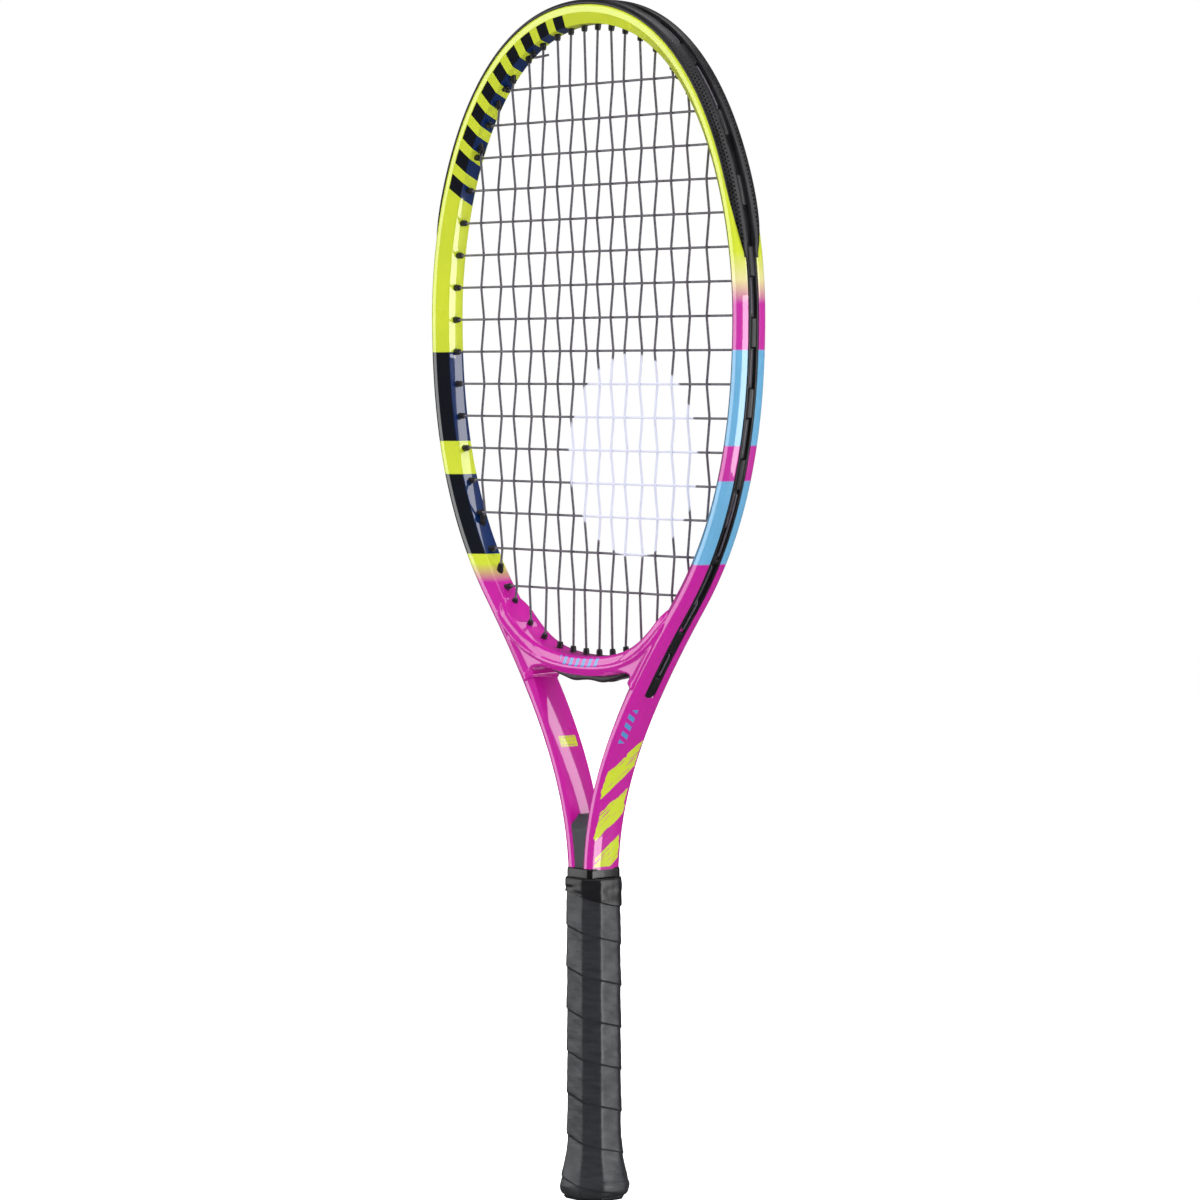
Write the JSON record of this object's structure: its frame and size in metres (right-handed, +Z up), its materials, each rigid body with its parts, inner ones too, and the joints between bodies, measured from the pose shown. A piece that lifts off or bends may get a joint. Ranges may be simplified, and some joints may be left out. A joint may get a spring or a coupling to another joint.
{
  "type": "tennis racket",
  "caption": "Strung junior tennis racket with a painted hoop, open throat and moulded yoke, nylon bumper and grommet strips, and a wrapped octagonal handle with a trap-door butt cap.",
  "frame": {"origin": "centre of the butt end face", "axes": "+Z up the handle to the top of the head, +X across the head towards one side, the front playing face looks along -Y"},
  "size_m": [0.263, 0.0338, 0.635],
  "materials": {
    "frame_paint": "high gloss lacquer in bands of yellow, navy, light blue and magenta",
    "yoke_paint": "high gloss magenta lacquer",
    "guard_nylon": "moulded black nylon, slightly worn",
    "grommet_nylon": "moulded black nylon",
    "string": "smooth dark grey monofilament",
    "wedge_plastic": "moulded dark grey plastic",
    "handle_foam": "moulded polyurethane foam skin",
    "gloss_tape": "glossy black vinyl",
    "grip_wrap": "satin black synthetic leather, wrapped in a spiral",
    "finishing_tape": "satin black vinyl tape",
    "cap_plastic": "moulded black plastic",
    "staple_steel": "bright wire"
  },
  "bodies": {
    "racket": {"frame_tube": "frame_paint", "throat_yoke": "yoke_paint", "bumper_guard": "guard_nylon", "side_grommet_strip_right": "grommet_nylon", "side_grommet_strip_left": "grommet_nylon", "throat_grommet_strip": "grommet_nylon", "main_string": "string", "cross_string": "string", "throat_wedge": "wedge_plastic", "handle_pallet": "handle_foam", "collar_ring": "gloss_tape", "base_grip": "grip_wrap", "finishing_tape": "finishing_tape", "butt_cap": "cap_plastic", "butt_cap_staple_front": "staple_steel", "butt_cap_staple_right": "staple_steel", "butt_cap_staple_rear": "staple_steel", "butt_cap_staple_left": "staple_steel", "grip_staple": "staple_steel"},
    "door": {"butt_cap_door": "cap_plastic"}
  },
  "joints": [
    {"name": "door_release", "type": "slide", "parent": "racket", "child": "door", "axis": [0, 0, -1], "range_m": [0, 0.03]}
  ]
}
